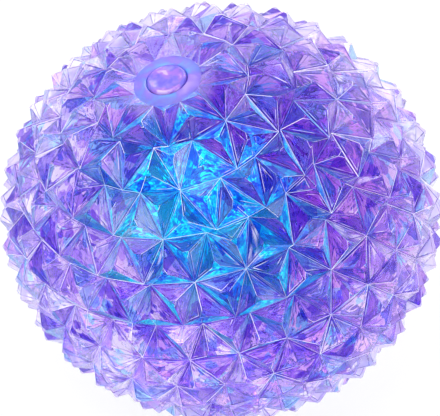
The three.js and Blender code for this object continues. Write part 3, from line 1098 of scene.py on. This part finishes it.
def blue_gel(glow):
    """Gel that takes up light on its way, with a faint painted glow all through, most of all round the
    capsule, which stands in for the capsule's light.
    """
    material, tree = start_material("blue_gel")
    place = object_place(tree)
    inward = distance(tree, place, BALL_CENTRE + Vector(glow.core_shift))
    thick = (GEL_THICK * GEL_RADIUS, glow.gel_density)
    thin = (GEL_THIN * GEL_RADIUS, THIN_DENSITY * glow.gel_density)
    # Painted light: the gel's colour turns pinker towards the red lamp
    from_red = distance(tree, place, BALL_CENTRE + Vector(glow.red_side))
    gel_colour = mixed(tree, ranged(tree, from_red, *RED_RANGE), glow.gel_colour, glow.red_colour)
    gel = {"Color": gel_colour, "Density": ranged(tree, inward, thick, thin)}

    # The lit heart, a painted pool of the capsule's light in glow and cyan colour, reaches as far from the
    # nearer of its two ends
    middle = HEART + Vector(glow.heart_shift)
    span = Vector(glow.heart_span)
    from_left = distance(tree, place, middle - span)
    from_right = distance(tree, place, middle + span)
    reach = ranged(tree, number(tree, "MINIMUM", from_left, from_right), *HEART_RANGE, smooth=True)
    heart_density = number(tree, "MULTIPLY", reach, glow.heart_density)
    heart = {"Color": opaque(glow.heart_colour), "Density": heart_density}

    glowing = {"Color": mixed(tree, reach, glow.gel_glow, glow.heart_glow), "Strength": glow.gel_strength}
    taken = outcome(tree, "ShaderNodeVolumeAbsorption", gel)
    taken_in_heart = outcome(tree, "ShaderNodeVolumeAbsorption", heart)
    both = outcome(tree, "ShaderNodeAddShader", {0: taken, 1: taken_in_heart})
    light = outcome(tree, "ShaderNodeEmission", glowing)
    volume = outcome(tree, "ShaderNodeAddShader", {0: both, 1: light})
    end_material(tree, outcome(tree, "ShaderNodeBsdfTransparent"), volume)
    return material


class SPIKYBALL_OT_gel(bpy.types.Operator):
    """Build the gel that fills the skin"""

    bl_idname = "spikyball.gel"
    bl_label = "Gel"

    def execute(self, context):
        scene = context.scene
        piece = new_piece("blue_gel", gel_mesh(scene.spikyball_skin, scene.spikyball_plug))
        piece.data.materials.append(blue_gel(scene.spikyball_glow))
        dress_soft(piece, "gel_filling")
        return {"FINISHED"}


# Filler plug


def plug_mesh(skin, plug):
    """The plug's head with its rounded rim and sunk middle, its neck, barb and stalk."""
    shape = bmesh.new()
    turns = even_turns(PLUG_SIDES)
    place = plug_frame(skin.valley_radius)
    barb_top = -skin.wall - plug.clearance
    barb_end = barb_top - plug.barb_length
    stalk_end = barb_end - plug.stalk_length
    rim_middle = plug.radius - plug.rim / 2
    rim_foot = -0.1 * MM
    rim_shoulder = 0.8 * plug.rim_rise
    dip = -0.15 * MM
    dip_radius = 0.3 * plug.radius
    edge = 0.2 * MM
    profile = [
        (dip_radius, dip),
        (plug.radius - plug.rim, rim_foot),
        (rim_middle - edge, rim_shoulder),
        (rim_middle, plug.rim_rise),
        (rim_middle + edge, rim_shoulder),
        (plug.radius, 0.0),
        (plug.radius, -plug.flange + edge),
        (plug.radius - edge, -plug.flange),
        (plug.neck_radius, -plug.flange),
        (plug.neck_radius, barb_top),
        (plug.barb_radius - edge, barb_top),
        (plug.barb_radius, barb_top - edge),
        (plug.barb_radius, barb_top - plug.barb_length / 3),
        (plug.stalk_radius, barb_end),
        (plug.stalk_radius, stalk_end + edge),
        (plug.stalk_radius - edge, stalk_end),
    ]
    rows = [plug_pole(shape, place, dip)]
    rows += [plug_row(shape, place, turns, radius, height) for radius, height in profile]
    rows.append(plug_pole(shape, place, stalk_end))
    join_rows(shape, rows)
    return mesh_of("filler_plug_rubber", shape)


class SPIKYBALL_OT_plug(bpy.types.Operator):
    """Build the filler plug with its barb and stalk"""

    bl_idname = "spikyball.plug"
    bl_label = "Filler plug"

    def execute(self, context):
        scene = context.scene
        skin = scene.spikyball_skin
        piece = new_piece("plug_rubber", plug_mesh(skin, scene.spikyball_plug))
        reach = skin.patch_radius
        rubber = milky_rubber("plug_rubber", PLUG_CLOUDS, PLUG_SHADES, reach, 2 * reach)
        piece.data.materials.append(rubber)
        dress_soft(piece, "filler_plug")
        return {"FINISHED"}


# Flasher


def lit_capsule(glow):
    """Frosted plastic with a painted glow in patches, which stands in for the light of the lamps inside."""
    material, tree = start_material("frosted_capsule")
    patches = noise(tree, object_place(tree), CAPSULE_PATCHES, detail=3.0, distortion=3.0)
    inputs = {
        "Base Color": (0.0, 0.35, 0.75, 1.0),
        "Roughness": 0.4,
        "Emission Color": colour_steps(tree, patches, CAPSULE_LIGHT)["Color"],
        "Emission Strength": glow.strength,
    }
    end_principled(tree, inputs)
    return material


def flasher_coordinates(tree):
    """Object coordinates turned to the plug's frame, in which the flasher's pieces lie straight."""
    turn = plug_frame(GEL_RADIUS).to_quaternion().inverted().to_euler()
    return outcome(tree, "ShaderNodeMapping", {"Vector": object_place(tree), "Rotation": turn})


def worked_finish(name):
    """A finish whose shade, roughness and relief follow one grain."""
    dark, pale, grain, (least, most), metal = FINISHES[name]
    material, tree = start_material(name)
    marks = noise(tree, vector(tree, "MULTIPLY", flasher_coordinates(tree), grain), 1.0, detail=3.0)
    inputs = {
        "Base Color": colour_steps(tree, marks, ((0.35, dark), (0.65, pale)))["Color"],
        "Roughness": ranged(tree, marks, (0.3, least), (0.7, most)),
        "Metallic": metal,
        "Normal": relief(tree, marks, 0.5, GRAIN_DEPTH),
    }
    end_principled(tree, inputs)
    return material


def board_green():
    """Green solder mask with paler tracks under it."""
    material, tree = start_material("board_green")
    inputs = {
        "Vector": flasher_coordinates(tree),
        "Color1": (0.010, 0.14, 0.055, 1.0),
        "Color2": (0.014, 0.18, 0.070, 1.0),
        "Mortar": (0.05, 0.36, 0.15, 1.0),
        "Scale": 220.0,
        "Mortar Size": 0.06,
    }
    tracks = add_node(tree, "ShaderNodeTexBrick", inputs).outputs
    normal = relief(tree, tracks["Fac"], 0.4, TRACK_DEPTH)
    end_principled(tree, {"Base Color": tracks["Color"], "Roughness": 0.35, "Normal": normal})
    return material


def lamp_epoxy(name, node, colour):
    """Clear tinted epoxy that shines from its middle."""
    material, tree = start_material(name)
    low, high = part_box(node)
    away = distance(tree, object_place(tree), (low + high) / 2)
    inputs = {
        "Base Color": opaque(colour),
        "Roughness": 0.08,
        "Transmission Weight": 0.5,
        "Emission Color": opaque(colour),
        "Emission Strength": ranged(tree, away, (0.0, 3.0), ((high - low).length / 2, 0.3)),
    }
    end_principled(tree, inputs)
    return material


def finish_nodes(names, material):
    for name in names:
        materials = frame["nodes"][name].data.materials
        materials.clear()
        materials.append(material)


class SPIKYBALL_OT_capsule(bpy.types.Operator):
    """Finish the two halves of the lit capsule"""

    bl_idname = "spikyball.capsule"
    bl_label = "Capsule"

    def execute(self, context):
        finish_nodes(("capsule_lower", "capsule_upper"), lit_capsule(context.scene.spikyball_glow))
        return {"FINISHED"}


class SPIKYBALL_OT_board(bpy.types.Operator):
    """Finish the circuit board and the controller under its drop of resin"""

    bl_idname = "spikyball.board"
    bl_label = "Board"

    def execute(self, context):
        finish_nodes(("circuit_board",), board_green())
        finish_nodes(("controller_chip",), worked_finish("chip_resin"))
        return {"FINISHED"}


class SPIKYBALL_OT_lamps(bpy.types.Operator):
    """Finish the red, green and blue lamps"""

    bl_idname = "spikyball.lamps"
    bl_label = "Lamps"

    def execute(self, context):
        for name, colour in LAMP_COLOURS.items():
            node = "led_" + name
            finish_nodes((node,), lamp_epoxy("lamp_" + name, node, colour))
        return {"FINISHED"}


class SPIKYBALL_OT_cells(bpy.types.Operator):
    """Finish the button cells, their contact strips and the pin of the shake switch"""

    bl_idname = "spikyball.cells"
    bl_label = "Cells and contacts"

    def execute(self, context):
        cells = ("battery_cell_1", "battery_cell_2", "battery_cell_3")
        contacts = ("battery_clip_upper", "battery_clip_lower", "shake_pin")
        finish_nodes(cells, worked_finish("cell_steel"))
        finish_nodes(contacts, worked_finish("contact_brass"))
        return {"FINISHED"}


# Coil of the shake switch


def coil_tree():
    """Winds a round wire down from a place in a plain coil with closed ends."""
    tree, given = start_geometry(
        "Coil",
        Geometry=("Geometry",),
        Float=("Radius", "Wire", "Pitch"),
        Int=("Turns",),
        Vector=("Place",),
        Rotation=("Turn",),
        Material=("Material",),
    )
    drop = number(tree, "MULTIPLY", given["Pitch"], given["Turns"])
    path = outcome(
        tree,
        "GeometryNodeCurveSpiral",
        {
            "Resolution": COIL_STEPS,
            "Rotations": given["Turns"],
            "Start Radius": given["Radius"],
            "End Radius": given["Radius"],
            "Height": number(tree, "MULTIPLY", drop, -1.0),
        },
    )
    half = number(tree, "MULTIPLY", given["Wire"], 0.5)
    circle = {"Resolution": WIRE_SIDES, "Radius": half}
    section = outcome(tree, "GeometryNodeCurvePrimitiveCircle", circle, mode="RADIUS")
    swept = {"Curve": path, "Profile Curve": section, "Fill Caps": True}
    wire = outcome(tree, "GeometryNodeCurveToMesh", swept)
    start = outcome(tree, "ShaderNodeCombineXYZ", {2: number(tree, "MULTIPLY", half, -1.0)})
    hung = outcome(tree, "GeometryNodeTransform", {"Geometry": wire, "Translation": start})
    lean = {"Geometry": hung, "Translation": given["Place"], "Rotation": given["Turn"]}
    end_geometry(tree, outcome(tree, "GeometryNodeTransform", lean), (given["Material"], True))
    return tree


class SPIKYBALL_OT_coil(bpy.types.Operator):
    """Wind the coil that swings when the ball is shaken"""

    bl_idname = "spikyball.coil"
    bl_label = "Shake coil"

    def execute(self, context):
        coil = context.scene.spikyball_coil
        shake = next(joint for joint in frame["joints"] if joint["name"] == "shake")
        piece = new_piece("shake_coil", bpy.data.meshes.new("shake_coil"))
        values = by_label(coil) | {
            "Place": shake["pos_m"],
            "Turn": plug_frame(GEL_RADIUS).to_euler(),
            "Material": worked_finish("spring_steel"),
        }
        plain_mesh(piece, coil_tree(), values)
        piece.data.shade_smooth()
        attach(piece, "switch_coil")
        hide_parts("shake_spring")
        return {"FINISHED"}


# Stage


def shows_white(tree):
    """1 where the backdrop is seen by the camera, in gloss or through a clear piece, and 0 elsewhere."""
    path = add_node(tree, "ShaderNodeLightPath").outputs
    seen = number(tree, "MAXIMUM", path["Is Camera Ray"], path["Is Glossy Ray"])
    return number(tree, "MAXIMUM", seen, path["Is Transmission Ray"])


def floor_material():
    """White where it is seen, but for a faint share of paint that keeps the ball's shadow."""
    material, tree = start_material("white_floor")
    share = number(tree, "MULTIPLY", shows_white(tree), FLOOR_WHITE)
    paint = outcome(tree, "ShaderNodeBsdfDiffuse", {"Color": (0.9, 0.9, 0.9, 1.0)})
    white = outcome(tree, "ShaderNodeEmission", {"Color": opaque(WHITE), "Strength": 1.0})
    end_material(tree, outcome(tree, "ShaderNodeMixShader", {0: share, 1: paint, 2: white}))
    return material


def light_world(context):
    world = bpy.data.worlds.new("white_studio")
    world.use_nodes = True
    tree = world.node_tree
    tree.nodes.clear()
    seen = outcome(tree, "ShaderNodeBackground", {"Color": opaque(WHITE), "Strength": 1.0})
    light = outcome(tree, "ShaderNodeBackground", {"Color": opaque(WHITE), "Strength": ROOM_LIGHT})
    either = outcome(tree, "ShaderNodeMixShader", {0: shows_white(tree), 1: light, 2: seen})
    add_node(tree, "ShaderNodeOutputWorld", {"Surface": either})
    context.scene.world = world


def area_lamp(name, place, size, power):
    lamp = bpy.data.lights.new(name, "AREA")
    lamp.size = size
    lamp.energy = power
    obj = bpy.data.objects.new(name, lamp)
    obj.location = place
    obj.rotation_euler = (BALL_CENTRE - Vector(place)).to_track_quat("-Z", "Y").to_euler()
    bpy.context.scene.collection.objects.link(obj)


def add_camera(stage):
    data = bpy.data.cameras.new("photo_camera")
    data.sensor_width = SENSOR_WIDTH
    data.lens = stage.lens
    data.shift_x = stage.frame_side
    data.shift_y = stage.frame_drop
    camera = bpy.data.objects.new("photo_camera", data)
    back = Vector((0, -math.cos(stage.elevation), math.sin(stage.elevation)))
    right = Vector((1, 0, 0))
    up = back.cross(right)
    turned = Matrix((right, up, back)).transposed().to_4x4() @ Matrix.Rotation(stage.roll, 4, "Z")
    camera.matrix_world = Matrix.Translation(BALL_CENTRE + back * stage.distance) @ turned
    data.clip_start = 0.01
    bpy.context.scene.collection.objects.link(camera)
    bpy.context.scene.camera = camera


class SPIKYBALL_OT_stage(bpy.types.Operator):
    """Set up the white floor, the soft lamps and the camera"""

    bl_idname = "spikyball.stage"
    bl_label = "Stage"

    def execute(self, context):
        shape = bmesh.new()
        bmesh.ops.create_grid(shape, x_segments=1, y_segments=1, size=FLOOR_REACH)
        mesh = bpy.data.meshes.new("white_floor")
        shape.to_mesh(mesh)
        shape.free()
        floor = new_piece("white_floor", mesh)
        mesh.materials.append(floor_material())
        floor.location.z = -FLOOR_GAP
        light_world(context)
        for lamp in STAGE_LAMPS:
            area_lamp(*lamp)
        add_camera(context.scene.spikyball_stage)
        context.scene.view_settings.view_transform = "Standard"
        context.scene.cycles.transparent_max_bounces = CLEAR_FACES
        return {"FINISHED"}


class SPIKYBALL_PT_panel(bpy.types.Panel):
    """Sizes, colours and pieces of the spiky ball"""

    bl_idname = "SPIKYBALL_PT_panel"
    bl_label = "Spiky ball"
    bl_space_type = "VIEW_3D"
    bl_region_type = "UI"
    bl_category = "Spiky ball"

    def draw(self, context):
        for name in GROUPS:
            settings = getattr(context.scene, "spikyball_" + name)
            box = self.layout.box()
            box.label(text=GROUPS[name].__doc__)
            for key in GROUPS[name].__annotations__:
                box.prop(settings, key)
        for operator in OPERATORS:
            self.layout.operator(operator.bl_idname)


GROUPS = {
    "skin": SkinSettings,
    "plug": PlugSettings,
    "glow": GlowSettings,
    "coil": CoilSettings,
    "stage": StageSettings,
}
OPERATORS = (
    SPIKYBALL_OT_skin,
    SPIKYBALL_OT_gel,
    SPIKYBALL_OT_plug,
    SPIKYBALL_OT_capsule,
    SPIKYBALL_OT_board,
    SPIKYBALL_OT_lamps,
    SPIKYBALL_OT_cells,
    SPIKYBALL_OT_coil,
    SPIKYBALL_OT_stage,
)


def register():
    for cls in (*GROUPS.values(), *OPERATORS, SPIKYBALL_PT_panel):
        bpy.utils.register_class(cls)
    for name, group in GROUPS.items():
        setattr(bpy.types.Scene, "spikyball_" + name, PointerProperty(type=group))


def unregister():
    for name in GROUPS:
        delattr(bpy.types.Scene, "spikyball_" + name)
    for cls in reversed((*GROUPS.values(), *OPERATORS, SPIKYBALL_PT_panel)):
        bpy.utils.unregister_class(cls)


def main():
    register()
    bpy.ops.spikyball.skin()
    bpy.ops.spikyball.gel()
    bpy.ops.spikyball.plug()
    bpy.ops.spikyball.capsule()
    bpy.ops.spikyball.board()
    bpy.ops.spikyball.lamps()
    bpy.ops.spikyball.cells()
    bpy.ops.spikyball.coil()
    bpy.ops.spikyball.stage()


if __name__ == "__main__":
    main()
